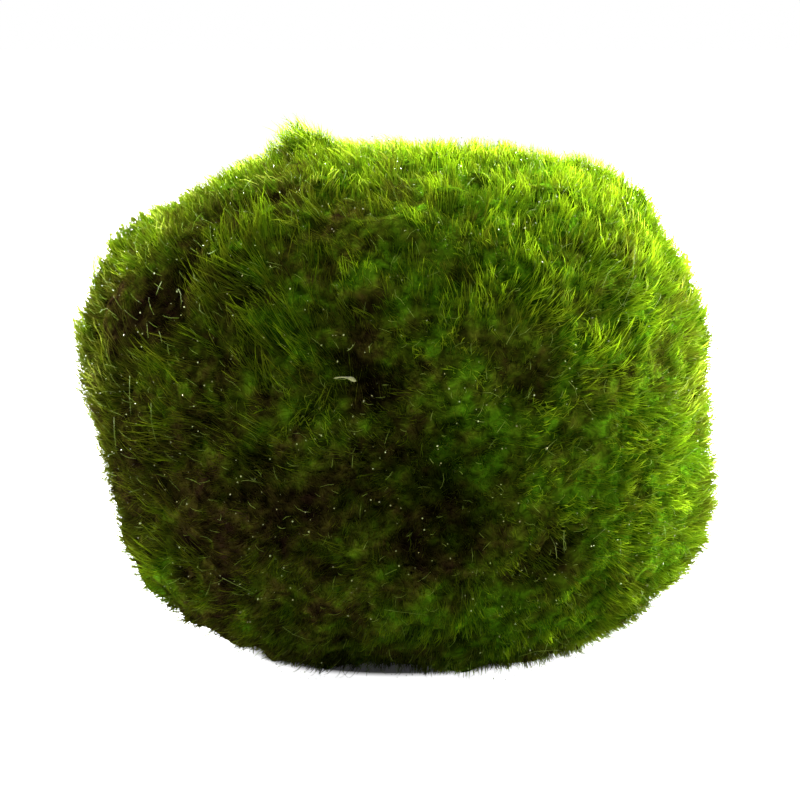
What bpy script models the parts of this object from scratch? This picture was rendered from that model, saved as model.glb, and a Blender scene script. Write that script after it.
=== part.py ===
"""A marimo: a ball of green freshwater alga whose filaments grow out from its middle on every side.

The real thing grew as one piece, so it is one solid, moss_ball. Its surface is where the tips of
the filaments end. The ball is a little square in outline and lumpy, and it has settled under its
own weight on a flat foot. Metres, +Z up, +X to the right and -Y to the viewer. The origin is the
middle of the bounding box's underside, on the plane of the foot.
"""

import math

import bmesh
import bpy
from mathutils import Vector

# Driving sizes, to the tips of the filaments, before the swellings are added.
HALF_WIDTH = 0.0245
HALF_DEPTH = 0.0230
HALF_HEIGHT = 0.0208
# The power of the superellipsoid: 2 would be an ellipsoid, and a higher power is squarer.
SQUARENESS = 2.6
# How far the weight of the ball has pressed its round underside flat.
FOOT_PRESS = 0.0009
# Each subdivision of the ball makes four triangles from one. Five give 5120 of them.
SUBDIVISIONS = 5
# Corners closer together than this after the foot is cut become one.
WELD_DISTANCE = 0.00015

# Where the ball grew thicker or thinner: azimuth from +X towards +Y and elevation, in degrees,
# then the rise of the surface there in metres and the angle that it spreads over, in degrees.
SWELLINGS = {
    "right_haunch": (-6, -25, 0.0020, 19),
    "right_ankle": (-4, -54, 0.0012, 14),
    "right_waist": (-2, 11, 0.0012, 9),
    "right_shoulder": (4, 44, 0.0012, 12),
    "right_crown": (10, 64, 0.0005, 10),
    "crown_dip": (5, 79, -0.0005, 7),
    "crown_tuft": (178, 70, 0.0021, 7),
    "crown_ridge": (80, 80, -0.0001, 16),
    "left_shoulder": (178, 50, -0.0016, 11),
    "left_bump": (180, 31, 0.0014, 9),
    "left_cheek": (183, 11, 0.0018, 13),
    "left_waist_front": (195, -14, -0.0016, 14),
    "left_waist_back": (168, -14, -0.0016, 14),
    "left_haunch": (184, -45, -0.0019, 18),
    "front_belly": (275, -8, 0.0007, 32),
    "front_dimple": (238, 14, -0.0006, 18),
    "front_brow": (300, 38, 0.0006, 18),
    "back_right_lump": (48, 8, 0.0012, 24),
    "back_hollow": (92, -6, -0.0009, 20),
    "back_left_lump": (138, 22, 0.0010, 22),
    "back_brow": (80, 48, 0.0007, 20),
}

# A fine waviness over the whole surface: its height, and how often it turns along each axis.
WAVE_HEIGHT = 0.0002
WAVES = (9.0, 8.0, 10.0)

MOSS_COLOUR = (0.045, 0.085, 0.008, 1.0)
MOSS_ROUGHNESS = 0.8
# Edges that turn by more than this are the rim of the foot, and stay sharp.
RIM_ANGLE = math.radians(30)


def pointing(azimuth, elevation):
    """The unit vector at an azimuth and an elevation given in degrees."""
    turn, rise = math.radians(azimuth), math.radians(elevation)
    flat = math.cos(rise)
    return Vector((flat * math.cos(turn), flat * math.sin(turn), math.sin(rise)))


def rounded_box_radius(way):
    """How far a superellipsoid of the driving sizes reaches from its centre along a unit vector."""
    shares = (way.x / HALF_WIDTH, way.y / HALF_DEPTH, way.z / HALF_HEIGHT)
    return sum(abs(share) ** SQUARENESS for share in shares) ** (-1 / SQUARENESS)


def swelling(way):
    """What all the swellings together add to the radius, each a bell-shaped rise round its middle."""
    total = 0.0
    for azimuth, elevation, rise, spread in SWELLINGS.values():
        off = way.angle(pointing(azimuth, elevation))
        total += rise * math.exp(-((off / math.radians(spread)) ** 2))
    return total


def waviness(way):
    """What the fine waves add: for each axis, a sine along it times a cosine along the next."""
    total = 0.0
    for axis in range(3):
        following = (axis + 1) % 3
        total += math.sin(WAVES[axis] * way[axis]) * math.cos(WAVES[following] * way[following])
    return WAVE_HEIGHT * total


def cut_foot(mesh):
    """Cuts off the lowest part of the ball and closes it with the flat face that it stands on."""
    lowest = min(vertex.co.z for vertex in mesh.verts)
    everything = mesh.verts[:] + mesh.edges[:] + mesh.faces[:]
    floor = Vector((0, 0, lowest + FOOT_PRESS))
    bmesh.ops.bisect_plane(mesh, geom=everything, plane_co=floor, plane_no=(0, 0, -1), clear_outer=True)
    bmesh.ops.remove_doubles(mesh, verts=mesh.verts, dist=WELD_DISTANCE)
    rim = [edge for edge in mesh.edges if edge.is_boundary]
    bmesh.ops.holes_fill(mesh, edges=rim, sides=len(rim))


def stand_on_origin(mesh):
    """Moves the ball so that the middle of its box's underside is the origin."""
    lowest = Vector(min(vertex.co[axis] for vertex in mesh.verts) for axis in range(3))
    highest = Vector(max(vertex.co[axis] for vertex in mesh.verts) for axis in range(3))
    middle = (lowest + highest) / 2
    bmesh.ops.translate(mesh, verts=mesh.verts, vec=(-middle.x, -middle.y, -lowest.z))


def moss_material():
    """The wet green felt of the whole ball."""
    material = bpy.data.materials.new("moss")
    material.use_nodes = True
    shader = material.node_tree.nodes["Principled BSDF"]
    shader.inputs["Base Color"].default_value = MOSS_COLOUR
    shader.inputs["Roughness"].default_value = MOSS_ROUGHNESS
    shader.inputs["Metallic"].default_value = 0.0
    material.diffuse_color = MOSS_COLOUR
    return material


def moss_ball():
    """The ball: an icosphere whose corners are moved out to the lumpy surface."""
    mesh = bmesh.new()
    bmesh.ops.create_icosphere(mesh, subdivisions=SUBDIVISIONS, radius=1.0)
    for vertex in mesh.verts:
        way = vertex.co.normalized()
        vertex.co = way * (rounded_box_radius(way) + swelling(way) + waviness(way))
    cut_foot(mesh)
    stand_on_origin(mesh)
    bmesh.ops.recalc_face_normals(mesh, faces=mesh.faces)

    data = bpy.data.meshes.new("moss_ball")
    mesh.to_mesh(data)
    mesh.free()
    data.shade_smooth()
    data.set_sharp_from_angle(angle=RIM_ANGLE)
    data.materials.append(moss_material())
    return bpy.data.objects.new("moss_ball", data)


def main():
    for old in list(bpy.data.objects):
        bpy.data.objects.remove(old)
    collection = bpy.data.collections.new("marimo_moss_ball")
    bpy.context.scene.collection.children.link(collection)
    collection.objects.link(moss_ball())


main()
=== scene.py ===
"""A marimo, a ball of green freshwater alga, as it looks fresh out of the water on a pale table.

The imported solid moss_ball is where the tips of the filaments end. In its place stand the felted
body of the ball, all its filaments, and the grains and scraps that are caught between them.
"""

import bpy
import numpy as np
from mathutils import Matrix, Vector


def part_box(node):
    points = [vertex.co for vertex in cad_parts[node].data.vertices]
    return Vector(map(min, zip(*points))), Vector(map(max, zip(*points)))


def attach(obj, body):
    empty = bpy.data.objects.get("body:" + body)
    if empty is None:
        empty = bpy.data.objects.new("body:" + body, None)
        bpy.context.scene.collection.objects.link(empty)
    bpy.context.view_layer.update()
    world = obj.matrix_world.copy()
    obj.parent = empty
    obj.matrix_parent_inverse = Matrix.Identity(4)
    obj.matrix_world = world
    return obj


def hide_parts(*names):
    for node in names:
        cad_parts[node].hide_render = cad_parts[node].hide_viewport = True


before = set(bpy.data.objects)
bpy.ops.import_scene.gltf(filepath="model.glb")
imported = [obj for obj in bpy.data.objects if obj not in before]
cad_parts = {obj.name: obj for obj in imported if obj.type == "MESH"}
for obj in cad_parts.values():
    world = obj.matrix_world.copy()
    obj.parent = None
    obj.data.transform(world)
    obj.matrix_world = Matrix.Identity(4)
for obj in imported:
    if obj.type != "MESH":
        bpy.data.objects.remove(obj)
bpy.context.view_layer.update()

# --------------------------------------------------------------------------------------------------
# The felted body: the older part of the ball, where the filaments have matted into dark wet felt.
# It is one closed skin just under a millimetre below the tips, in soft cushions with creases
# between them, and everything else is held by it.

# How far the felt lies below the tips, and the least that it stays over the table.
BODY_DEPTH, BODY_CLEARANCE = 0.0008, 0.0005
# The corners of its skin round the ball and from foot to crown, worked out in this many lots.
BODY_TURNS, BODY_RISES, BODY_LOTS = 256, 128, 16
# How sharply the nearest triangles of the solid outweigh the rest in the tips' reach.
KEENNESS = 700.0
# The sine waves in a ripple, and what their sum is scaled by to stay mostly between -1 and 1.
RIPPLE_SINES, RIPPLE_SCALE = 24, 0.7
# The cushions' wavelengths, and how high each kind stands over the mean.
CUSHIONS = ((0.0090, 0.00018), (0.0042, 0.00028), (0.0022, 0.00018))
# The wavelengths of the patches that are lusher or barer than the rest, and by how much.
LUSH_PATCHES = ((0.0190, 0.08), (0.0075, 0.12), (0.0032, 0.14), (0.0014, 0.12))
# How lush the alga is on the whole, how much lusher it is towards the light, and the way to that
# light. Lusher is greener and also brighter, so this gain is partly the alga's own greener growth
# on that side and partly painted light.
LUSH_LEVEL, LUSH_AND_LIGHT_GAIN = 0.60, 0.32
LIGHT_WAY = np.array([0.74, 0.0, 0.67])
# Painted light: a place that faces the light is marked with the cosine of its angle from it, up to
# the second number. The alga is painted brighter by the first number times the mark, and at the
# second it is as bright as though it stood higher over the felt by the share given third.
PAINTED_LIGHT_GAIN, PAINTED_LIGHT_MOST, PAINTED_LIGHT_REACH = 0.60, 0.62, 0.30
# Painted shade on the glow: how strongly the side away from the light glows, as a share of the
# side towards it.
GLOW_PAINTED_SHADE = 0.72
# The felt's own marks: its height at its mean level, the rise that adds one to that, the least and
# the most that the height is, and its shade. The low height mark keeps the felt darker than the
# tips, partly as painted shade under the filaments, and it falls with the relief, so the felt is
# darker in its creases and hollows: painted shade.
FELT_LEVEL, FELT_RISE, FELT_LEAST, FELT_MOST, FELT_SHADE = 0.40, 0.0018, 0.03, 0.80, 0.60
# How much of a lump the felt bears. The filaments that grow on it make up the rest.
LUMP_SHARE = 0.5
# Places that stand out from the rest: azimuth and elevation from the ball's middle and the spread
# of the place, all in degrees, then how much lusher it is, and how deep its hollow is. A hollow
# less than nothing is a lump. A hollow is also painted darker, on the felt and on its filaments:
# painted shade.
SPOTS = {
    "brown_cheek": (221, 21, 7, -0.60, 0.0009),
    "brown_brow": (261, 20, 6, -0.35, 0.0002),
    "brown_waist": (221, -6, 6, -0.22, 0.0003),
    "brown_belly": (246, -12, 8, -0.22, 0.0002),
    "brown_chin": (276, -22, 6, -0.15, 0.0001),
    "brown_fold": (294, 11, 5, -0.45, 0.0006),
    "dark_notch": (224, 44, 5, -0.50, 0.0010),
    "notch_end": (233, 49, 4, -0.45, 0.0008),
    "dark_hollow": (283, -14, 6, -0.20, 0.0009),
    "small_hollow": (301, -20, 3, -0.20, 0.0012),
    "upper_hollow": (262, 14, 5, -0.25, 0.0006),
    "green_streak": (246, 19, 3, 0.35, 0.0),
    "green_middle": (288, 0, 9, 0.20, 0.0002),
    "dull_belly": (268, -10, 22, -0.10, 0.0003),
    "green_toe": (286, -40, 10, 0.45, 0.0),
    "green_heel": (302, -37, 10, 0.32, 0.0),
    "green_foot": (213, -30, 8, 0.45, 0.0),
    "green_side": (316, -20, 16, 0.22, 0.0),
    "green_brow": (284, 40, 14, 0.20, 0.0),
    "peak_tuft": (178, 69, 6, 0.35, -0.0006),
    "peak_spur": (180, 58, 4, 0.30, -0.0006),
    "spur_crease": (180, 51, 4, 0.25, 0.0007),
    "crown_crease": (165, 82, 7, 0.0, 0.0008),
    "left_crest": (190, 48, 8, 0.35, 0.0),
    "left_brow": (186, 28, 8, 0.25, 0.0),
    "left_shoulder": (181, 35, 5, 0.0, -0.0007),
    "left_tuft": (180, 24, 6, 0.0, -0.0009),
    "left_side": (181, -3, 16, 0.0, -0.0006),
    "left_haunch": (180, -21, 5, 0.0, -0.0004),
    "left_foot": (180, -38, 9, 0.0, -0.0006),
    "left_heel": (183, -68, 5, 0.0, 0.0003),
    "right_waist": (0, -5, 6, 0.0, 0.0004),
    "right_side": (2, 12, 5, 0.0, -0.0006),
    "right_tuft": (3, 38, 3, 0.1, -0.0008),
    "right_crease": (3, 46, 3, 0.0, 0.0003),
    "upper_tuft": (5, 51, 3, 0.1, -0.0007),
    "upper_crease": (5, 67, 3, 0.0, 0.0003),
    "crown_tuft": (10, 72, 3, 0.1, -0.0005),
    "top_crease": (8, 79, 5, 0.0, 0.0004),
    "ankle_tuft": (349, -52, 10, 0.0, -0.0011),
    "heel_tuft": (354, -68, 8, 0.0, -0.0006),
    "haunch_tuft": (356, -28, 8, 0.0, -0.0005),
}

low_corner, high_corner = (np.array(corner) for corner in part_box("moss_ball"))
middle = (low_corner + high_corner) / 2


def triangles_of(mesh):
    """The corners of a mesh's triangles, as an array of triangle by corner by axis."""
    mesh.calc_loop_triangles()
    places = np.empty(len(mesh.vertices) * 3)
    mesh.vertices.foreach_get("co", places)
    corners = np.empty(len(mesh.loop_triangles) * 3, int)
    mesh.loop_triangles.foreach_get("vertices", corners)
    return places.reshape(-1, 3)[corners].reshape(-1, 3, 3)


def unit(vectors):
    """The vectors, each divided by its own length."""
    return vectors / np.maximum(np.linalg.norm(vectors, axis=-1, keepdims=True), 1e-12)


def pointing(azimuth, elevation):
    """The unit vector at an azimuth and an elevation given in degrees."""
    turn, rise = np.radians(azimuth), np.radians(elevation)
    return np.array([np.cos(rise) * np.cos(turn), np.cos(rise) * np.sin(turn), np.sin(rise)])


def waves(wavelength, rng):
    """Sine waves of one length, as a wave vector and a phase for each, drawn at random."""
    vectors = unit(rng.normal(size=(RIPPLE_SINES, 3))) * 2 * np.pi / wavelength
    return vectors, rng.uniform(0, 2 * np.pi, RIPPLE_SINES)


def ripple(places, drawn):
    """A smooth random height at each place, about -1 to 1: the sum of the sines of the drawn waves,
    divided by the square root of half their number and times RIPPLE_SCALE."""
    vectors, phases = drawn
    return RIPPLE_SCALE * np.sin(places @ vectors.T + phases).sum(-1) / np.sqrt(len(phases) / 2)


body_rng = np.random.default_rng(11)
cushion_waves = [(waves(length, body_rng), height) for length, height in CUSHIONS]
patch_waves = [(waves(length, body_rng), share) for length, share in LUSH_PATCHES]
spot_ways = np.array([pointing(*spot[:2]) for spot in SPOTS.values()])
spot_spreads, spot_lushness, spot_hollows = np.array([spot[2:] for spot in SPOTS.values()]).T


def spot_shares(places):
    """How far each place belongs to each spot: e to the power of minus the angle from the spot,
    over its spread, squared."""
    angles = np.degrees(np.arccos(np.clip(unit(places - middle) @ spot_ways.T, -1, 1)))
    return np.exp(-((angles / spot_spreads) ** 2))


def relief(places):
    """How high the felt stands at each place over its mean: ripples of three sizes, less the hollow
    of each spot, and more by LUMP_SHARE of each lump."""
    rise = sum(height * ripple(places, drawn) for drawn, height in cushion_waves)
    sunk = np.maximum(spot_hollows, 0) + LUMP_SHARE * np.minimum(spot_hollows, 0)
    return rise - spot_shares(places) @ sunk


def lushness(places):
    """How lush the alga is at each place, from 0, brown, to 1, bright green: LUSH_LEVEL, more
    towards the light, partly as painted light, more or less in patches of four sizes and in the
    spots."""
    lit = unit(places - middle) @ unit(LIGHT_WAY)
    patchy = sum(share * ripple(places, drawn) for drawn, share in patch_waves)
    spotty = spot_shares(places) @ spot_lushness
    return np.clip(LUSH_LEVEL + LUSH_AND_LIGHT_GAIN * lit + patchy + spotty, 0, 1)


def painted_light_facing(places):
    """The mark for painted light: how far each place faces the light, the cosine of its angle from
    that way, no less than 0 and no more than the cap for painted light."""
    return np.clip(unit(places - middle) @ unit(LIGHT_WAY), 0, PAINTED_LIGHT_MOST)


tip_triangles = triangles_of(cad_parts["moss_ball"].data)
centroid_offsets = tip_triangles.mean(1) - middle
centroid_ways = unit(centroid_offsets)
centroid_radii = np.linalg.norm(centroid_offsets, axis=1)


def tip_reach(ways):
    """How far the tips reach from the middle along unit vectors: the mean of the distances of the
    solid's triangles, each weighed by e to the power of KEENNESS times its cosine less one."""
    weights = np.exp(KEENNESS * (ways @ centroid_ways.T - 1))
    return weights @ centroid_radii / weights.sum(1)


def put_mesh(name, places, faces):
    """A smooth-shaded object at the origin, from an array of places and one of triangles."""
    mesh = bpy.data.meshes.new(name)
    mesh.vertices.add(len(places))
    mesh.vertices.foreach_set("co", places.astype(np.float32).ravel())
    mesh.loops.add(faces.size)
    mesh.loops.foreach_set("vertex_index", faces.astype(np.int32).ravel())
    mesh.polygons.add(len(faces))
    mesh.polygons.foreach_set("loop_start", np.arange(0, faces.size, 3, dtype=np.int32))
    mesh.update(calc_edges=True)
    mesh.shade_smooth()
    piece = bpy.data.objects.new(name, mesh)
    bpy.context.scene.collection.objects.link(piece)
    return piece


def mark_growth(piece, growth):
    """Writes the growth of each corner onto a piece: height over the felt, lushness, own shade and
    the mark for painted light."""
    marks = piece.data.attributes.new("growth", "FLOAT_COLOR", "POINT")
    marks.data.foreach_set("color", growth.astype(np.float32).ravel())


def ring_faces(rings, sides):
    """The triangles of a closed skin, facing outwards. Its places are a pole, then ring by ring
    the corners of each, as many as it has sides, then the other pole. Two triangles join each
    corner to the next ring, and a fan closes each pole."""
    spot = 1 + np.arange(rings * sides).reshape(rings, sides)
    here, right = spot[:-1], np.roll(spot, -1, 1)[:-1]
    up, corner = spot[1:], np.roll(spot, -1, 1)[1:]
    walls = np.concatenate([np.stack([here, right, corner], -1), np.stack([here, corner, up], -1)])
    first, last = spot[0], spot[-1]
    start = np.stack([np.zeros_like(first), np.roll(first, -1), first], -1)
    end = np.stack([last, np.roll(last, -1), np.full_like(last, rings * sides + 1)], -1)
    return np.concatenate([start, walls.reshape(-1, 3), end])


def ball_grid(turns, rises):
    """Unit vectors over a ball, ring by ring from the lowest to the highest with a pole at each
    end, and the triangles that close them."""
    azimuth = np.arange(turns) * 2 * np.pi / turns
    elevation = (np.arange(1, rises) / rises - 0.5) * np.pi
    flat = np.cos(elevation)[:, None]
    rings = np.stack([flat * np.cos(azimuth), flat * np.sin(azimuth),
                      np.repeat(np.sin(elevation)[:, None], turns, 1)], -1)
    ways = np.concatenate([[(0, 0, -1)], rings.reshape(-1, 3), [(0, 0, 1)]])
    return ways, ring_faces(rises - 1, turns)


def add_node(tree, kind, sockets=None, **settings):
    """A new shader node. Each socket, by name or number, is set to a value or linked to an
    output."""
    node = tree.nodes.new(kind)
    for name, value in settings.items():
        setattr(node, name, value)
    for name, value in (sockets or {}).items():
        if isinstance(value, bpy.types.NodeSocket):
            tree.links.new(value, node.inputs[name])
        else:
            node.inputs[name].default_value = value
    return node


def new_material(name):
    """An empty node material and its output node."""
    material = bpy.data.materials.new(name)
    material.use_nodes = True
    material.node_tree.nodes.clear()
    return material, add_node(material.node_tree, "ShaderNodeOutputMaterial")


def colour_ramp(tree, place, stops):
    """The colour at a place between 0 and 1 along the stops, each a position and a colour."""
    node = add_node(tree, "ShaderNodeValToRGB", {0: place})
    elements = node.color_ramp.elements
    while len(elements) < len(stops):
        elements.new(0.5)
    for element, (position, colour) in zip(elements, stops):
        element.position = position
        element.color = (*colour, 1.0)
    return node.outputs[0]


# From bare brown felt through olive to the two greens of young filaments.
LUSH_STOPS = (
    (0.0, (0.012, 0.0064, 0.0028)),
    (0.30, (0.024, 0.022, 0.0028)),
    (0.60, (0.030, 0.046, 0.0020)),
    (1.0, (0.030, 0.078, 0.0016)),
)
# How bright the colour is from the root of a filament to its tip, and from a dull filament to a
# pale one. The dark low end is partly the older growth's own darker colour and partly painted shade
# down between the filaments and in the felt's creases.
HEIGHT_STOPS = ((0.0, 0.20), (0.25, 0.66), (0.5, 0.95), (0.8, 1.03), (1.0, 1.06))
SHADE_LOW, SHADE_HIGH = 0.65, 1.25
# The speckle of the alga: how fine its noise is, and how detailed and how rough. From the lower to
# the higher noise it shifts the lushness down and up, and darkens and brightens the colour.
SPECKLE_SCALE, SPECKLE_DETAIL, SPECKLE_ROUGHNESS = 1000.0, 4.0, 0.65
SPECKLE_FROM, SPECKLE_TO = 0.3, 0.7
SPECKLE_LUSHNESS = 0.22
SPECKLE_DARK, SPECKLE_BRIGHT = 0.45, 1.50
# The fibres of the felt: how fine their noise is, how detailed, rough and bent, and how high they
# stand. Between them it is painted darker and on them painted brighter, from the lower to the
# higher noise: painted shade and light on the fibres.
FIBRE_SCALE, FIBRE_DETAIL, FIBRE_ROUGHNESS, FIBRE_BEND = 1100.0, 5.0, 0.6, 0.6
FIBRE_HEIGHT = 0.0008
PIT_FROM, PIT_TO, PIT_PAINTED_SHADE, PIT_PAINTED_LIGHT = 0.36, 0.62, 0.35, 1.5


def scaled(tree, colour, factor):
    """A colour socket times the number on another socket."""
    grey = add_node(tree, "ShaderNodeCombineColor", {0: factor, 1: factor, 2: factor})
    return add_node(tree, "ShaderNodeMix", {0: 1.0, 6: colour, 7: grey.outputs[0]},
                    data_type="RGBA", blend_type="MULTIPLY").outputs[2]


def combined(tree, operation, first, second):
    """The number that an operation such as ADD or MULTIPLY makes of two numbers."""
    return add_node(tree, "ShaderNodeMath", {0: first, 1: second}, operation=operation).outputs[0]


def between(tree, value, start, end, low, high):
    """The number low up to where a value is at its start, high from where it is at its end, and
    in proportion between the two."""
    sockets = {0: value, 1: start, 2: end, 3: low, 4: high}
    return add_node(tree, "ShaderNodeMapRange", sockets).outputs[0]


def alga_colour(tree):
    """The sockets of the alga's colour, its lushness, its height over the felt and how strongly it
    glows. The colour goes by the lushness with a fine noise added. It is brighter the higher it is,
    which is partly painted shade low down, brighter by painted light the more it faces the light,
    and brighter by its own shade and by a second fine noise. The glow goes by its own shade, and
    painted shade makes it dimmer away from the light."""
    growth = add_node(tree, "ShaderNodeAttribute", attribute_name="growth")
    marks = add_node(tree, "ShaderNodeSeparateColor", {0: growth.outputs["Color"]})
    height, lush, own = marks.outputs
    facing = growth.outputs["Alpha"]
    where = add_node(tree, "ShaderNodeTexCoord").outputs["Object"]
    speckle = add_node(tree, "ShaderNodeTexNoise", {
        "Vector": where, "Scale": SPECKLE_SCALE, "Detail": SPECKLE_DETAIL,
        "Roughness": SPECKLE_ROUGHNESS})
    noises = add_node(tree, "ShaderNodeSeparateColor", {0: speckle.outputs["Color"]})
    first, second, _ = noises.outputs
    tinge = between(tree, second, SPECKLE_FROM, SPECKLE_TO, -SPECKLE_LUSHNESS, SPECKLE_LUSHNESS)
    lush = combined(tree, "ADD", lush, tinge)
    living = colour_ramp(tree, lush, LUSH_STOPS)
    # Painted light: towards the light the height is read higher, so the roots there are brighter.
    reach = combined(tree, "ADD", height, between(tree, facing, 0.0, PAINTED_LIGHT_MOST, 0.0, PAINTED_LIGHT_REACH))
    # Darker the lower it is: partly the older growth's own colour, partly painted shade between the
    # filaments.
    # A ramp's colours stop at one, so its levels are halved there and doubled in the grain.
    level = colour_ramp(tree, reach, [(place, (level / 2,) * 3) for place, level in HEIGHT_STOPS])
    grain = between(tree, first, SPECKLE_FROM, SPECKLE_TO, 2 * SPECKLE_DARK, 2 * SPECKLE_BRIGHT)
    shade = between(tree, own, 0.0, 1.0, SHADE_LOW, SHADE_HIGH)
    # Painted light: brighter the more the place faces the light.
    sun = between(tree, facing, 0.0, 1.0, 1.0, 1.0 + PAINTED_LIGHT_GAIN)
    bright = combined(tree, "MULTIPLY", combined(tree, "MULTIPLY", grain, shade), sun)
    # Painted shade: the glow is dimmer away from the light.
    shone = between(tree, facing, 0.0, PAINTED_LIGHT_MOST, GLOW_PAINTED_SHADE, 1.0)
    glow = combined(tree, "MULTIPLY", shade, shone)
    return scaled(tree, scaled(tree, living, level), bright), lush, height, glow


def felt_material():
    """Dark wet felt: the colour of the alga with a fibrous bump, with painted shade between the
    fibres and painted light on them.
    """
    material, output = new_material("wet_felt")
    tree = material.node_tree
    where = add_node(tree, "ShaderNodeTexCoord").outputs["Object"]
    fibres = add_node(tree, "ShaderNodeTexNoise", {
        "Vector": where, "Scale": FIBRE_SCALE, "Detail": FIBRE_DETAIL,
        "Roughness": FIBRE_ROUGHNESS, "Distortion": FIBRE_BEND}).outputs[0]
    bump = add_node(tree, "ShaderNodeBump", {
        "Height": fibres, "Strength": 1.0, "Distance": FIBRE_HEIGHT})
    # Painted shade between the fibres and painted light on them.
    pit_painted_shade = between(tree, fibres, PIT_FROM, PIT_TO, PIT_PAINTED_SHADE, PIT_PAINTED_LIGHT)
    felt = add_node(tree, "ShaderNodeBsdfPrincipled", {
        "Base Color": scaled(tree, alga_colour(tree)[0], pit_painted_shade), "Roughness": 0.8,
        "Specular IOR Level": 0.0, "Normal": bump.outputs[0]})
    tree.links.new(felt.outputs[0], output.inputs["Surface"])
    return material


body_ways, body_faces = ball_grid(BODY_TURNS, BODY_RISES)
body_lots = np.array_split(body_ways, BODY_LOTS)
body_radii = np.concatenate([tip_reach(ways) for ways in body_lots]) - BODY_DEPTH
body_rise = relief(middle + body_ways * body_radii[:, None])
body_places = middle + body_ways * (body_radii + body_rise)[:, None]
body_places[:, 2] = np.maximum(body_places[:, 2], BODY_CLEARANCE)
body_growth = np.ones((len(body_places), 4))
# Painted shade: the felt is darker where it lies lower, in creases and hollows.
body_growth[:, 0] = np.clip(FELT_LEVEL + body_rise / FELT_RISE, FELT_LEAST, FELT_MOST)
body_growth[:, 1] = lushness(body_places)
body_growth[:, 2] = FELT_SHADE
body_growth[:, 3] = painted_light_facing(body_places)
felted_body = put_mesh("felted_body", body_places, body_faces)
mark_growth(felted_body, body_growth)
felted_body.data.materials.append(felt_material())
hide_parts("moss_ball")
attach(felted_body, "root")

# --------------------------------------------------------------------------------------------------
# The filaments: the living green threads of the ball, about a tenth of a millimetre thick, rooted
# in the felt. They grow in small tufts, start straight out and bend over the way that the water
# has combed the ball. Each fifth of them, going round the ball, is one piece.

SECTORS = ("front_right", "back_right", "back", "left", "front")
TUFTS_PER_SECTOR = 2750
# How far from the middle of a tuft its filaments are rooted, and how deep in the felt.
TUFT_RADIUS, ROOT_SINK = 0.00042, 0.0004
# Per kind: filaments in a tuft, where the rings of corners are along one, its radius at the root
# and at the tip, how far its tip stands over the felt at the least and at the most, how far it
# leans, as a share of its tuft's lean, how far it strays from the rest of its tuft, and its shade.
KINDS = (
    (2, (0.0, 0.40, 0.80), 0.000033, 0.000025, 0.0006, 0.0016, 1.50, 0.00022, (0.30, 0.58)),
    (1, (0.0, 0.55), 0.000040, 0.000030, 0.0005, 0.0016, 1.10, 0.00030, (0.32, 0.56)),
    (5, (0.0,), 0.000054, 0.000032, 0.0003, 0.0016, 0.60, 0.00036, (0.36, 0.54)),
)
# The furthest that a tip stands past the solid, before it leans.
HIGHEST_TIP = 0.0008
# The tufts stand in rounded heaps with creases between: the wavelength, how much shorter the
# filaments are in the creases, and how steeply the heaps rise from them.
HEAP_LENGTH, HEAP_DEPTH, HEAP_STEEPNESS = 0.0046, 0.40, 1.6
# The tufts swirl: the wavelength, and how far it turns their tips aside. Each tuft also strays by
# itself. Both are looser the more it leans, from this share where it doesn't lean at all.
SWIRL_LENGTH, SWIRL, TUFT_JITTER, LEAST_LOOSE = 0.0062, 0.0007, 0.00038, 0.35
# The tips of a tuft close up by at most this share. It is lusher or barer than its place by about
# the second number, and paler or duller than the rest by at most the third.
CLUMP_MOST, TUFT_LUSHNESS, TUFT_SHADE = 0.7, 0.10, 0.30
# A filament bends at these shares of its height and of its lean, give or take the third number.
BEND_HEIGHT, BEND_LEAN, BEND_JITTER = 0.6, 0.15, 0.00026
# How much shorter the filaments are where the alga is brown and bare, and how much shorter the
# weight of the ball has pressed them at its foot, from this height down.
BARE_SHARE = 0.5
PRESSED_SHARE, PRESSED_BELOW = 0.5, 0.012
# Painted shade in the hollows: a hollow dims its filaments as though they stood lower by this many
# times its depth.
HOLLOW_PAINTED_SHADE = 1.2
# The filaments part at this place and lean away from it, by at most LEAN_MOST, and by most of that
# from LEAN_SPREAD away. Below the parting they lean down by FOOT_SHARE of what they would lean up.
PARTING = np.array([0.0080, 0.0, 0.0170])
LEAN_SPREAD, LEAN_MOST, FOOT_SHARE = 0.020, 0.0016, 0.4
# On the left, and a little on the right, they also lean upwards, in full from this far out.
LEFT_LIFT, RIGHT_LIFT, LIFT_REACH = 0.0010, 0.0003, 0.016
# The mark for height on a filament is ROOT_MARK at the mean level of the felt, and one from this
# height over it up.
ROOT_MARK, COAT_HEIGHT = 0.35, 0.0010
# The lowest that a filament comes to the table, and the share of the solid's size by which a tip
# reaches past the solid's box at the most.
TIP_FLOOR = 0.00006
BOX_SHARE = np.array([0.0140, 0.0135, 0.0260])
# How much of a filament's shading follows the ball's own surface, as against its round side.
COAT_SHARE = 0.92
# A filament's cell on the bake sheet, the UV map named OFBake: where its three edges stand across
# the cell, where its root and tip are up it, and how far one corner of the root is set lower, so
# that the triangle across the root has room too.
CELL_EDGES, CELL_ROOT, CELL_TIP, CELL_NOTCH = (0.15, 0.5, 0.85), 0.1, 0.9, 0.06


def facings(triangles):
    """The normals of triangles, each twice as long as its area: one side crossed with the next."""
    return np.cross(triangles[:, 1] - triangles[:, 0], triangles[:, 2] - triangles[:, 0])


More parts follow.
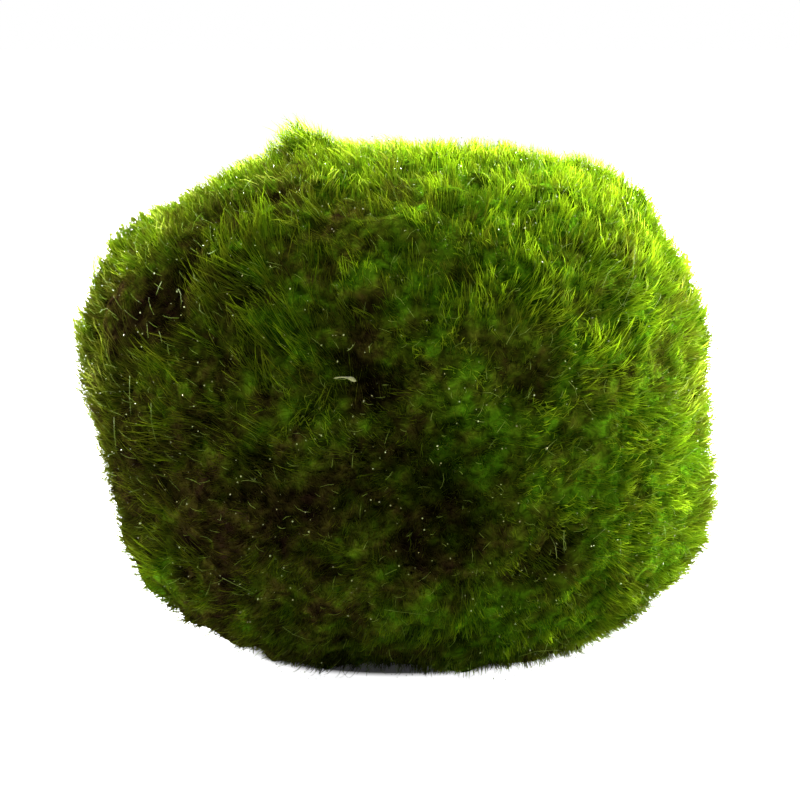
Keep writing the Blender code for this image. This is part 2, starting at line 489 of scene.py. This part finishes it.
def sow(triangles, count, rng):
    """Points spread evenly over triangles, and the normals there: the whole area, laid end to end,
    is cut into equal shares, and each point is drawn inside its own share."""
    normals = facings(triangles)
    areas = np.linalg.norm(normals, axis=1)
    ends = np.cumsum(areas) / areas.sum()
    drawn = np.searchsorted(ends, (np.arange(count) + rng.uniform(size=count)) / count)
    chosen = np.minimum(drawn, len(areas) - 1)
    along, across = np.sqrt(rng.uniform(size=count)), rng.uniform(size=count)
    weights = np.stack([1 - along, along * (1 - across), along * across], -1)
    return (triangles[chosen] * weights[:, :, None]).sum(1), unit(normals[chosen])


def tangents(normals):
    """Two unit vectors across each normal, at right angles to it and to each other: the normal
    crossed with +Z, or with +X where it is near Z, and that crossed with the normal."""
    helper = np.where(np.abs(normals[:, 2:]) < 0.8, [[0.0, 0.0, 1.0]], [[1.0, 0.0, 0.0]])
    first = unit(np.cross(helper, normals))
    return first, np.cross(normals, first)


def combing(places, normals):
    """How far filaments lean at each place: away from the parting to the sides and up or down, by
    the hyperbolic tangent of the distance, and upwards by an S-curve of how far left or right the
    place is, all with no part along the normal."""
    away = (places - PARTING) * (1, 0, 1) / LEAN_SPREAD
    away[:, 2] *= np.where(away[:, 2] < 0, FOOT_SHARE, 1)
    size = np.linalg.norm(away, axis=1, keepdims=True)
    away *= LEAN_MOST * np.tanh(size) / np.maximum(size, 1e-9)
    for outward, lift in ((-places[:, 0], LEFT_LIFT), (places[:, 0], RIGHT_LIFT)):
        share = np.clip(outward / LIFT_REACH, 0, 1)
        away[:, 2] += lift * share * share * (3 - 2 * share)
    return away - (away * normals).sum(1, keepdims=True) * normals


def needles(roots, bends, tips, steps, root_radius, tip_radius, rng):
    """Closed three-sided needles along quadratic curves from root to tip, drawn towards the bend: a
    ring of three corners at each step, a point at the tip and one triangle across the root. The
    radius goes evenly from the root's to the tip's. Returns their places, the ways that their
    corners face, and their triangles."""
    count, rings = len(roots), len(steps)
    t = np.array(steps)[None, :, None]
    root, bend, tip = roots[:, None], bends[:, None], tips[:, None]
    spine = (1 - t) ** 2 * root + 2 * t * (1 - t) * bend + t ** 2 * tip
    chord = unit(tips - roots)
    side = unit(np.cross(chord, rng.normal(size=chord.shape)))
    other = np.cross(chord, side)
    angle = np.arange(3) * 2 * np.pi / 3
    spokes = side[:, None] * np.cos(angle)[:, None] + other[:, None] * np.sin(angle)[:, None]
    radii = root_radius + (tip_radius - root_radius) * np.array(steps)
    corners = spine[:, :, None] + spokes[:, None] * radii[None, :, None, None]
    places = np.concatenate([corners.reshape(count, rings * 3, 3), tip], 1)
    facing = np.concatenate([np.tile(spokes, (1, rings, 1)), chord[:, None]], 1)
    low = np.arange(3)
    after = (low + 1) % 3
    faces = [(2, 1, 0)]
    for ring in range(rings - 1):
        base, top = ring * 3, ring * 3 + 3
        faces += [(base + a, base + b, top + b) for a, b in zip(low, after)]
        faces += [(base + a, top + b, top + a) for a, b in zip(low, after)]
    faces += [(rings * 3 - 3 + a, rings * 3 - 3 + b, rings * 3) for a, b in zip(low, after)]
    starts = np.arange(count)[:, None, None] * (rings * 3 + 1)
    return places, facing, (np.array(faces)[None] + starts).reshape(-1, 3)


# How the light that comes through a filament is tinted, from bare to lush.
GLOW_STOPS = ((0.0, (0.20, 0.15, 0.05)), (0.4, (0.52, 0.58, 0.09)), (1.0, (0.74, 0.94, 0.10)))
# Up to the height GLOW_FROM the tint has this share of its strength, and this share of the light
# comes through. At the tip the tint is whole, and THROUGH_MOST of the light comes through.
GLOW_FROM, GLOW_LEAST = 0.40, 0.50
THROUGH_LEAST, THROUGH_MOST = 0.45, 0.68
# Painted glints on the threads: how fine they are, the noise from which they start and at which
# they are whole, and how much brighter the thread is painted under one.
PAINTED_GLINT_SCALE, PAINTED_GLINT_FROM, PAINTED_GLINT_TO, PAINTED_GLINT_BRIGHT = 5000.0, 0.60, 0.70, 2.6


def filament_material():
    """Wet translucent thread in the colour of the alga, with painted glints by a fine noise, that
    glows yellow-green where light comes through, most of all at its tip."""
    material, output = new_material("wet_filament")
    tree = material.node_tree
    colour, lush, height, glow = alga_colour(tree)
    where = add_node(tree, "ShaderNodeTexCoord").outputs["Object"]
    painted_glints = add_node(tree, "ShaderNodeTexNoise", {
        "Vector": where, "Scale": PAINTED_GLINT_SCALE, "Detail": 1.0}).outputs[0]
    # Painted glints: the thread is brighter in spots of a fine noise.
    colour = scaled(tree, colour, between(tree, painted_glints, PAINTED_GLINT_FROM, PAINTED_GLINT_TO, 1.0, PAINTED_GLINT_BRIGHT))
    skin = add_node(tree, "ShaderNodeBsdfPrincipled", {
        "Base Color": colour, "Roughness": 0.5, "Specular IOR Level": 0.0}).outputs[0]
    tip = between(tree, height, GLOW_FROM, 1.0, GLOW_LEAST, 1.0)
    tint = scaled(tree, scaled(tree, colour_ramp(tree, lush, GLOW_STOPS), tip), glow)
    flat = add_node(tree, "ShaderNodeNewGeometry").outputs["True Normal"]
    through = add_node(tree, "ShaderNodeBsdfTranslucent", {"Color": tint, "Normal": flat})
    share = between(tree, height, GLOW_FROM, 1.0, THROUGH_LEAST, THROUGH_MOST)
    both = add_node(tree, "ShaderNodeMixShader", {0: share, 1: skin, 2: through.outputs[0]})
    tree.links.new(both.outputs[0], output.inputs["Surface"])
    return material


highest_tip = high_corner + (high_corner - low_corner) * BOX_SHARE
lowest_tip = low_corner - (high_corner - low_corner) * BOX_SHARE
lowest_tip[2] = TIP_FLOOR
filament_rng = np.random.default_rng(3)
tuft_count = TUFTS_PER_SECTOR * len(SECTORS)
tuft_places, tuft_normals = sow(tip_triangles, tuft_count, filament_rng)
turn = np.arctan2(tuft_places[:, 1], tuft_places[:, 0])
order = np.argsort((turn + np.pi / 2) % (2 * np.pi))
tuft_places, tuft_normals = tuft_places[order], tuft_normals[order]
tuft_across, tuft_along = tangents(tuft_normals)
tuft_lean = combing(tuft_places, tuft_normals)
swirl_waves = [waves(SWIRL_LENGTH, filament_rng) for _ in range(2)]
heap_waves = waves(HEAP_LENGTH, filament_rng)
swirl = np.stack([ripple(tuft_places, drawn) for drawn in swirl_waves], -1) * SWIRL
looseness = LEAST_LOOSE + np.linalg.norm(tuft_lean, axis=1, keepdims=True) / LEAN_MOST
jitter = (swirl + filament_rng.normal(size=(tuft_count, 2)) * TUFT_JITTER) * looseness
tuft_lean += tuft_across * jitter[:, :1] + tuft_along * jitter[:, 1:]
tuft_clump = filament_rng.uniform(0.0, CLUMP_MOST, tuft_count)
tuft_lushness = filament_rng.normal(size=tuft_count) * TUFT_LUSHNESS
tuft_shade = filament_rng.uniform(-TUFT_SHADE, TUFT_SHADE, tuft_count)
thread = filament_material()


def grow(tufts, kind, rng):
    """The needles of one kind in a slice of the tufts, with each corner's normal and growth, and
    its place in its filament's cell. Each is rooted under a point drawn in its tuft's disc. Its tip
    leans as the tuft does, and stands over the felt by a height drawn at random, less in creases,
    where the alga is bare and at the foot, and more on a lump."""
    number, steps, root_radius, tip_radius = kind[:4]
    least_stand, most_stand, leaning, straying, (dull, bright) = kind[4:]
    pick = np.repeat(np.arange(tuft_count)[tufts], number)
    count = len(pick)
    reach, turn = np.sqrt(rng.uniform(size=count)) * TUFT_RADIUS, rng.uniform(0, 2 * np.pi, count)
    across, along, normal = tuft_across[pick], tuft_along[pick], tuft_normals[pick]
    offset = across * (reach * np.cos(turn))[:, None] + along * (reach * np.sin(turn))[:, None]
    base = tuft_places[pick] + offset
    own = rng.normal(size=(count, 2)) * straying
    lean = tuft_lean[pick] * leaning + across * own[:, :1] + along * own[:, 1:]
    lush = lushness(base)
    spots = spot_shares(base)
    heap = np.minimum(np.abs(ripple(base, heap_waves)) * HEAP_STEEPNESS, 1)
    stand = rng.uniform(least_stand, most_stand, count) * (1 - HEAP_DEPTH * (1 - heap))
    stand *= 1 - BARE_SHARE * np.clip(1 - lush / LUSH_LEVEL, 0, 1)
    stand *= 1 - PRESSED_SHARE * np.clip(1 - base[:, 2] / PRESSED_BELOW, 0, 1)
    stand += (1 - LUMP_SHARE) * (spots @ np.maximum(-spot_hollows, 0))
    felt_depth = BODY_DEPTH - relief(base)
    lean *= (stand / most_stand)[:, None]
    roots = base - normal * (felt_depth + ROOT_SINK)[:, None]
    tips = base - normal * np.maximum(felt_depth - stand, -HIGHEST_TIP)[:, None]
    tips += lean - offset * tuft_clump[pick][:, None]
    tips = np.clip(tips, lowest_tip, highest_tip)
    rise = ((tips - roots) * normal).sum(1, keepdims=True)
    bends = roots + BEND_HEIGHT * normal * rise + BEND_LEAN * lean
    bends += rng.normal(size=(count, 3)) * BEND_JITTER
    bends[:, 2] = np.maximum(bends[:, 2], TIP_FLOOR)
    places, facing, faces = needles(roots, bends, tips, steps, root_radius, tip_radius, rng)
    normals = unit((1 - COAT_SHARE) * facing + COAT_SHARE * normal[:, None])
    height = ((places - base[:, None]) * normal[:, None]).sum(2) + BODY_DEPTH
    # Painted shade: filaments in a hollow are marked lower, so darker.
    height -= HOLLOW_PAINTED_SHADE * (spots @ np.maximum(spot_hollows, 0))[:, None]
    growth = np.ones((*places.shape[:2], 4))
    growth[:, :, 0] = np.clip(ROOT_MARK + (1 - ROOT_MARK) * height / COAT_HEIGHT, 0, 1)
    growth[:, :, 1] = np.clip(lush + tuft_lushness[pick], 0, 1)[:, None]
    growth[:, :, 2] = np.clip(rng.uniform(dull, bright, count) + tuft_shade[pick], 0, 1)[:, None]
    growth[:, :, 3] = painted_light_facing(base)[:, None]
    across_cell = np.append(np.tile(CELL_EDGES, len(steps)), CELL_EDGES[1])
    up_cell = CELL_ROOT + (CELL_TIP - CELL_ROOT) * np.append(np.repeat(steps, 3), 1.0)
    up_cell[1] -= CELL_NOTCH
    return places, normals, growth, faces, np.stack([across_cell, up_cell], -1)


for number, sector in enumerate(SECTORS):
    tufts = slice(number * TUFTS_PER_SECTOR, (number + 1) * TUFTS_PER_SECTOR)
    grown = [grow(tufts, kind, filament_rng) for kind in KINDS]
    places, normals, growth = (
        np.concatenate([part[item].reshape(-1, part[item].shape[-1]) for part in grown])
        for item in range(3))
    counts, corners = zip(*(part[0].shape[:2] for part in grown))
    starts = np.cumsum([0, *np.multiply(counts, corners)])
    faces = np.concatenate([part[3] + start for part, start in zip(grown, starts)])
    piece = put_mesh("filaments_" + sector, places, faces)
    piece.data.normals_split_custom_set_from_vertices(normals.astype(np.float32))
    mark_growth(piece, growth)
    cells = int(np.ceil(np.sqrt(sum(counts))))
    owner = np.repeat(np.arange(sum(counts)), np.repeat(corners, counts))
    sheet = np.concatenate([np.tile(part[4], (count, 1)) for part, count in zip(grown, counts)])
    sheet = (np.stack([owner % cells, owner // cells], -1) + sheet) / cells
    bake_sheet = piece.data.uv_layers.new(name="OFBake")
    bake_sheet.uv.foreach_set("vector", sheet[faces.ravel()].astype(np.float32).ravel())
    piece.data.materials.append(thread)
    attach(piece, "root")

# --------------------------------------------------------------------------------------------------
# The stray threads: old bleached filaments, as thin as a fine hair and a third of a millimetre to
# three and a half long, that have worked loose from the felt. They lie across the tips, most of
# them the way the ball is combed.

STRAY_COUNT = 2200
# Where the rings of a thread's corners are along it, and its radius at the root and at the tip.
STRAY_STEPS = (0.0, 0.35, 0.75)
STRAY_ROOT, STRAY_TIP = 0.000024, 0.000012
STRAY_SHORTEST, STRAY_LONGEST = 0.0003, 0.0012
# How much of the way that a thread points is the combing's, and how much is its own.
STRAY_COMBED, STRAY_LOOSE = 0.9, 0.55
# How far a thread bows, as a share of its length, and how far its ends are over and under its
# middle.
STRAY_BOW, STRAY_RISE = 0.16, 0.00035
# Its own colour, that of the light that comes through it, and how much of the light does.
STRAY_COLOUR, STRAY_GLOW = (0.13, 0.165, 0.035, 1.0), (0.36, 0.50, 0.08, 1.0)
STRAY_THROUGH = 0.45
# The ones that show most: azimuth and elevation of the middle, the way it points in degrees
# anticlockwise from the right, its length, and how far it bows to its left, as a share of that.
LONG_STRAYS = {
    "foot_arc": (304, -42, 10, 0.0034, 0.32),
    "foot_cross": (266, -32, 62, 0.0016, 0.05),
    "foot_line": (272, -30, 4, 0.0034, 0.04),
    "foot_left": (249, -36, -9, 0.0024, -0.06),
    "low_left": (241, -25, -8, 0.0030, 0.05),
    "cheek_first": (228, 22, -50, 0.0022, 0.15),
    "cheek_second": (231, 26, -35, 0.0020, -0.12),
    "brow_first": (224, 36, 40, 0.0018, 0.2),
    "right_first": (318, 28, 60, 0.0030, -0.1),
    "right_second": (312, 26, 45, 0.0028, 0.15),
    "haunch_first": (322, 6, 28, 0.0030, -0.08),
    "haunch_second": (324, -6, 15, 0.0032, 0.1),
    "pit_first": (297, -18, -80, 0.0018, 0.1),
    "pit_second": (299, -17, -95, 0.0016, -0.1),
    "cheek_third": (226, 15, -42, 0.0018, 0.1),
    "cheek_fourth": (232, 31, -15, 0.0015, -0.25),
    "cheek_fifth": (222, 23, -62, 0.0016, 0.12),
    "cheek_sixth": (234, 21, -35, 0.0017, -0.2),
    "left_first": (221, 5, -58, 0.0032, 0.04),
    "left_second": (227, 1, -60, 0.0034, -0.05),
    "left_third": (217, -2, -50, 0.0028, 0.05),
    "right_third": (315, 23, 52, 0.0026, 0.06),
    "right_fourth": (320, 20, 40, 0.0026, -0.06),
    "haunch_third": (318, 1, 22, 0.0030, 0.06),
    "haunch_fourth": (326, 1, 18, 0.0028, -0.06),
    "fold_first": (300, 8, -80, 0.0014, 0.15),
    "fold_second": (303, 5, -60, 0.0012, -0.1),
    "middle_first": (286, 8, -20, 0.0014, 0.2),
    "middle_second": (290, 18, 60, 0.0016, 0.05),
}


def tip_surface(ways):
    """The places over the middle where the tips end along unit vectors, and the normals there: the
    mean of the normals of the solid's triangles, weighed as for the tips' reach."""
    weights = np.exp(KEENNESS * (ways @ centroid_ways.T - 1))
    return middle + ways * tip_reach(ways)[:, None], unit(weights @ facings(tip_triangles))


def lay_threads(middles, normals, ways, lengths, bows, rng):
    """Needles that lie over the tips: each runs half its length either way from its middle, bows
    sideways by a share of the length, and rises from its root to its tip by twice STRAY_RISE."""
    ahead = unit(ways - (ways * normals).sum(1, keepdims=True) * normals)
    half = ahead * lengths[:, None] / 2
    lift = normals * STRAY_RISE
    sideways = np.cross(normals, ahead) * (bows * lengths)[:, None]
    roots, tips = middles - half - lift, middles + half + lift
    bends = middles + 2 * sideways + lift
    return needles(roots, bends, tips, STRAY_STEPS, STRAY_ROOT, STRAY_TIP, rng)


def thread_material():
    """Bleached thread: a pale dull green skin that lets through a good part of the light."""
    material, output = new_material("bleached_thread")
    tree = material.node_tree
    skin = add_node(tree, "ShaderNodeBsdfPrincipled", {
        "Base Color": STRAY_COLOUR, "Roughness": 0.5, "Specular IOR Level": 0.08}).outputs[0]
    through = add_node(tree, "ShaderNodeBsdfTranslucent", {"Color": STRAY_GLOW}).outputs[0]
    both = add_node(tree, "ShaderNodeMixShader", {0: STRAY_THROUGH, 1: skin, 2: through}).outputs[0]
    tree.links.new(both, output.inputs["Surface"])
    return material


stray_rng = np.random.default_rng(29)
stray_places, stray_normals = sow(tip_triangles, STRAY_COUNT, stray_rng)
stray_ways = combing(stray_places, stray_normals) / LEAN_MOST * STRAY_COMBED
stray_ways += stray_rng.normal(size=stray_places.shape) * STRAY_LOOSE
stray_lengths = stray_rng.uniform(STRAY_SHORTEST, STRAY_LONGEST, STRAY_COUNT)
stray_bows = stray_rng.normal(size=STRAY_COUNT) * STRAY_BOW
loose = lay_threads(stray_places, stray_normals, stray_ways, stray_lengths, stray_bows, stray_rng)

chosen = np.array(list(LONG_STRAYS.values()))
long_places, long_normals = tip_surface(np.array([pointing(*row[:2]) for row in chosen]))
long_turns = np.radians(chosen[:, 2])
long_ways = np.stack([np.cos(long_turns), np.zeros(len(chosen)), np.sin(long_turns)], -1)
shown = lay_threads(long_places + long_normals * STRAY_RISE, long_normals, long_ways,
                    chosen[:, 3], chosen[:, 4], stray_rng)

thread_places = np.concatenate([loose[0], shown[0]]).reshape(-1, 3)
thread_places = np.clip(thread_places, lowest_tip, highest_tip)
thread_faces = np.concatenate([loose[2], shown[2] + loose[0].shape[0] * loose[0].shape[1]])
stray_threads = put_mesh("stray_threads", thread_places, thread_faces)
stray_threads.data.materials.append(thread_material())
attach(stray_threads, "root")

# --------------------------------------------------------------------------------------------------
# The silt: specks of pale sand about a tenth of a millimetre across, which the ball has picked up.
# They are held between the tips all over it, and a few coarser grains sit on its front.

GRAIN_COUNT = 3200
# A common grain's radius, how widely the logarithm of the radius spreads, and by how many such
# spreads the finest and the coarsest grains differ from a common one.
GRAIN_RADIUS, GRAIN_SPREAD, GRAIN_FINEST, GRAIN_COARSEST = 0.000038, 0.40, -2.0, 1.5
# The least and the most of its grain's radius that a corner stands from the grain's middle.
CORNER_LEAST, CORNER_MOST = 0.7, 1.3
# How deep the grains lie under the solid's surface: less than nothing, since they are held outside
# it, among the longest tips.
GRAIN_SHALLOW, GRAIN_DEEP = -0.0008, -0.0003
# The grains gather in patches: the patches' wavelength, how many places are tried for a grain, and
# how much chance there is in the choice.
GATHER_LENGTH, GATHER_TRIES, GATHER_CHANCE = 0.0050, 2, 0.4
# Their two tones, and how coarse the noise is that goes from one to the other.
GRAIN_STOPS = ((0.35, (0.20, 0.19, 0.08)), (0.65, (0.33, 0.40, 0.15)))
TONE_SCALE = 400.0
# The coarser grains: azimuth, elevation and radius.
COARSE_GRAINS = {
    "brow": (294, 36, 0.00012),
    "brow_second": (296, 35, 0.00008),
    "middle": (293, 8, 0.00007),
    "middle_low": (295, -1, 0.00009),
    "belly": (290, 3, 0.00007),
    "belly_low": (268, -1, 0.00008),
    "waist": (243, -7, 0.00007),
    "foot": (262, -23, 0.00008),
    "haunch": (312, -25, 0.00007),
    "cheek": (228, 23, 0.00009),
}


def octahedra(centres, radii, rng):
    """A crooked octahedron round each centre: six corners on three axes turned at random, each at
    its own share of the radius, and eight triangles."""
    count = len(centres)
    first = unit(rng.normal(size=(count, 3)))
    second, third = tangents(first)
    arms = np.stack([first, second, third, -first, -second, -third], 1)
    reach = radii[:, None] * rng.uniform(CORNER_LEAST, CORNER_MOST, (count, 6))
    places = centres[:, None] + arms * reach[:, :, None]
    faces = np.array([(0, 1, 2), (1, 3, 2), (3, 4, 2), (4, 0, 2),
                      (1, 0, 5), (3, 1, 5), (4, 3, 5), (0, 4, 5)])
    starts = 6 * np.arange(count)[:, None, None]
    return places.reshape(-1, 3), (faces[None] + starts).reshape(-1, 3)


def silt_material():
    """Wet pale sand: glossy, and a little straw-coloured or grey by a coarse noise."""
    material, output = new_material("wet_silt")
    tree = material.node_tree
    where = add_node(tree, "ShaderNodeTexCoord").outputs["Object"]
    kind = add_node(tree, "ShaderNodeTexNoise", {"Vector": where, "Scale": TONE_SCALE}).outputs[0]
    tone = colour_ramp(tree, kind, GRAIN_STOPS)
    grain = add_node(tree, "ShaderNodeBsdfPrincipled", {"Base Color": tone, "Roughness": 0.2})
    tree.links.new(grain.outputs[0], output.inputs["Surface"])
    return material


silt_rng = np.random.default_rng(41)
grain_places, grain_normals = sow(tip_triangles, GRAIN_COUNT * GATHER_TRIES, silt_rng)
pull = ripple(grain_places, waves(GATHER_LENGTH, silt_rng))
pull += silt_rng.normal(size=len(grain_places)) * GATHER_CHANCE
gathered = np.sort(np.argsort(pull)[-GRAIN_COUNT:])
grain_places, grain_normals = grain_places[gathered], grain_normals[gathered]
grain_depths = silt_rng.uniform(GRAIN_SHALLOW, GRAIN_DEEP, GRAIN_COUNT)
grain_places -= grain_normals * grain_depths[:, None]
grain_spreads = np.clip(silt_rng.normal(size=GRAIN_COUNT), GRAIN_FINEST, GRAIN_COARSEST)
grain_radii = GRAIN_RADIUS * np.exp(grain_spreads * GRAIN_SPREAD)
coarse = np.array(list(COARSE_GRAINS.values()))
coarse_places, coarse_normals = tip_surface(np.array([pointing(*row[:2]) for row in coarse]))
silt_places, silt_faces = octahedra(
    np.concatenate([grain_places, coarse_places - coarse_normals * GRAIN_SHALLOW]),
    np.concatenate([grain_radii, coarse[:, 2]]), silt_rng)
silt_places = np.clip(silt_places, lowest_tip, highest_tip)
silt = put_mesh("silt_grains", silt_places, silt_faces)
silt.data.shade_flat()
silt.data.materials.append(silt_material())
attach(silt, "root")

# --------------------------------------------------------------------------------------------------
# The scraps: a pale bit of stalk with a swollen end, caught on the front, and a dark curled flake
# of dead leaf on the right. Each is a round or flat section carried along a bent line.

# The sides of the section, and the rings of corners along the line, between its two ends.
SCRAP_SIDES, SCRAP_RINGS = 10, 11
# How thin a scrap is away from its widest place, as a share of that, how far along it the swelling
# spreads, and over how much of its length it closes at each end.
THIN_SHARE, SWELL_SPREAD, END_SHARE = 0.3, 0.16, 0.08
# Its streaks: how fine their noise is, and the noise at which they are dull and bright.
STREAK_SCALE, STREAK_FROM, STREAK_TO = 5000.0, 0.35, 0.6
# Per scrap: azimuth and elevation of its middle, the way it points in degrees anticlockwise from
# the right, its length, its bow as a share of that, how far it stands over the tips, its widest
# half width and half thickness, where the widest place is along it, and its colour.
SCRAPS = {
    "pale_stalk": (261, 11, -6, 0.0017, 0.10, 0.0003,
                   0.00016, 0.00014, 0.80, (0.15, 0.16, 0.045)),
    "dark_flake": (354, 10, 74, 0.0017, -0.20, 0.0006,
                   0.00030, 0.00006, 0.35, (0.010, 0.011, 0.006)),
}


def scrap_mesh(place, normal, way, length, bow, half_width, half_depth, widest):
    """A closed spindle along a bowed line: an ellipse at each ring, whose size goes as a bell round
    the widest place over a thin stalk, and which closes to a point at both ends by the square root
    of the distance from the end."""
    t = np.linspace(0, 1, SCRAP_RINGS + 2)[:, None]
    ahead = unit(way - (way @ normal) * normal)
    side = np.cross(normal, ahead)
    line = place + ahead * (t - 0.5) * length + side * bow * length * 4 * t * (1 - t)
    swell = THIN_SHARE + (1 - THIN_SHARE) * np.exp(-(((t - widest) / SWELL_SPREAD) ** 2))
    swell = swell * np.clip(np.minimum(t, 1 - t) / END_SHARE, 0, 1) ** 0.5
    angle = np.arange(SCRAP_SIDES)[:, None] * 2 * np.pi / SCRAP_SIDES
    ring = side * (half_width * np.cos(angle)) + normal * (half_depth * np.sin(angle))
    rings = line[1:-1, None] + swell[1:-1, None] * ring[None]
    places = np.concatenate([line[:1], rings.reshape(-1, 3), line[-1:]])
    return places, ring_faces(SCRAP_RINGS, SCRAP_SIDES)


def scrap_material(name, colour):
    """Dead plant matter: its colour, half as bright in streaks by a fine noise."""
    material, output = new_material(name)
    tree = material.node_tree
    where = add_node(tree, "ShaderNodeTexCoord").outputs["Object"]
    streaks = add_node(tree, "ShaderNodeTexNoise", {"Vector": where, "Scale": STREAK_SCALE})
    dull = tuple(channel / 2 for channel in colour)
    tone = colour_ramp(tree, streaks.outputs[0], ((STREAK_FROM, dull), (STREAK_TO, colour)))
    skin = add_node(tree, "ShaderNodeBsdfPrincipled", {"Base Color": tone, "Roughness": 0.4})
    tree.links.new(skin.outputs[0], output.inputs["Surface"])
    return material


for name, row in SCRAPS.items():
    azimuth, elevation, direction, length, bow, lift, half_width, half_depth, widest, colour = row
    places, normals = tip_surface(pointing(azimuth, elevation)[None])
    way = np.array([np.cos(np.radians(direction)), 0, np.sin(np.radians(direction))])
    places, faces = scrap_mesh(places[0] + normals[0] * lift, normals[0], way,
                               length, bow, half_width, half_depth, widest)
    scrap = put_mesh(name, places, faces)
    scrap.data.materials.append(scrap_material(name, colour))
    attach(scrap, "root")

# --------------------------------------------------------------------------------------------------
# The setting: a pale table that runs out into white, and six soft boxes of one size. The strong
# three stand behind the ball, to the right, to the left and in the middle, and shine through its
# tips. The weak three stand above it, on its right and at its upper left.

# Half the table's width, and how much light it throws back.
TABLE_HALF, TABLE_SHADE = 30.0, (0.53, 0.53, 0.53, 1.0)
# To the camera it also shines white, but for an oval round the foot where the white is weak, so
# that the lamps' shadow shows only there: a painted shadow, whose extent and edge are the oval's.
# The numbers: how much the distances to the side count, the distances from the foot's middle up to
# which the white is weak and from which it is whole, and how weak it is.
OVAL_STRETCH, OVAL_EDGE, OVAL_WHITE, OVAL_GLOW = (0.70, 1.0, 1.0), 0.0086, 0.0097, 0.025
# The soft boxes' size, then where each stands and its power in watts.
BOX_WIDTH, BOX_HEIGHT = 0.38, 0.30
SOFT_BOXES = {
    "top_light": (0.0, 0.044, 0.52, 3.8),
    "right_light": (0.485, 0.07, 0.04, 6.5),
    "right_back_light": (0.42, 0.24, 0.10, 22.0),
    "left_light": (-0.35, 0.02, 0.375, 2.0),
    "left_back_light": (-0.22, 0.37, 0.25, 29.0),
    "back_light": (0.0, 0.38, 0.34, 10.0),
}
# How strongly the white room lights the ball.
ROOM_GLOW = 0.03
# The camera looks at a place this far from the ball's middle, from this high up and this far away,
# through a lens of this many millimetres, and sees nothing nearer than the last number.
AIM_SHIFT = np.array([0.00018, 0.0, -0.00096])
CAMERA_ELEVATION, CAMERA_DISTANCE = np.radians(10.0), 0.1625
LENS, NEAREST = 90.0, 0.005

floor_corners = np.array([(-1, -1, 0), (1, -1, 0), (1, 1, 0), (-1, 1, 0)]) * TABLE_HALF
table = put_mesh("table_top", floor_corners, np.array([(0, 1, 2), (0, 2, 3)]))
table_finish, table_output = new_material("pale_table")
table_tree = table_finish.node_tree
table_where = add_node(table_tree, "ShaderNodeTexCoord").outputs["Object"]
table_oval = add_node(table_tree, "ShaderNodeVectorMath", {0: table_where, 1: OVAL_STRETCH},
                      operation="MULTIPLY").outputs[0]
table_far = add_node(table_tree, "ShaderNodeVectorMath", {0: table_oval},
                     operation="LENGTH").outputs["Value"]
# Painted shadow: the table's white is weak in the oval round the foot.
table_glow = between(table_tree, table_far, OVAL_EDGE, OVAL_WHITE, OVAL_GLOW, 1.0)
table_seen = add_node(table_tree, "ShaderNodeLightPath").outputs["Is Camera Ray"]
table_white = combined(table_tree, "MULTIPLY", table_glow, table_seen)
table_skin = add_node(table_tree, "ShaderNodeBsdfPrincipled", {
    "Base Color": TABLE_SHADE, "Roughness": 0.8, "Specular IOR Level": 0.0,
    "Emission Color": (1, 1, 1, 1), "Emission Strength": table_white})
table_tree.links.new(table_skin.outputs[0], table_output.inputs["Surface"])
table.data.materials.append(table_finish)

for name, (*place, power) in SOFT_BOXES.items():
    data = bpy.data.lights.new(name, "AREA")
    data.shape, data.size, data.size_y = "RECTANGLE", BOX_WIDTH, BOX_HEIGHT
    data.energy = power
    lamp = bpy.data.objects.new(name, data)
    bpy.context.scene.collection.objects.link(lamp)
    lamp.location = place
    lamp.rotation_mode = "QUATERNION"
    lamp.rotation_quaternion = (Vector(middle) - lamp.location).to_track_quat("-Z", "Y")
    lamp.visible_camera = False

world = bpy.data.worlds.new("white_room")
world.use_nodes = True
world.node_tree.nodes.clear()
seen = add_node(world.node_tree, "ShaderNodeLightPath").outputs["Is Camera Ray"]
room, backdrop = (
    add_node(world.node_tree, "ShaderNodeBackground", {"Color": (1, 1, 1, 1), "Strength": strength})
    for strength in (ROOM_GLOW, 1.0))
both = add_node(world.node_tree, "ShaderNodeMixShader", {
    0: seen, 1: room.outputs[0], 2: backdrop.outputs[0]})
add_node(world.node_tree, "ShaderNodeOutputWorld", {"Surface": both.outputs[0]})
bpy.context.scene.world = world
bpy.context.scene.view_settings.view_transform = "Standard"

camera_data = bpy.data.cameras.new("camera")
camera_data.lens, camera_data.clip_start = LENS, NEAREST
camera = bpy.data.objects.new("camera", camera_data)
bpy.context.scene.collection.objects.link(camera)
look = Vector((0, np.cos(CAMERA_ELEVATION), -np.sin(CAMERA_ELEVATION)))
camera.location = Vector(middle + AIM_SHIFT) - look * CAMERA_DISTANCE
camera.rotation_mode = "QUATERNION"
camera.rotation_quaternion = look.to_track_quat("-Z", "Y")
bpy.context.scene.camera = camera
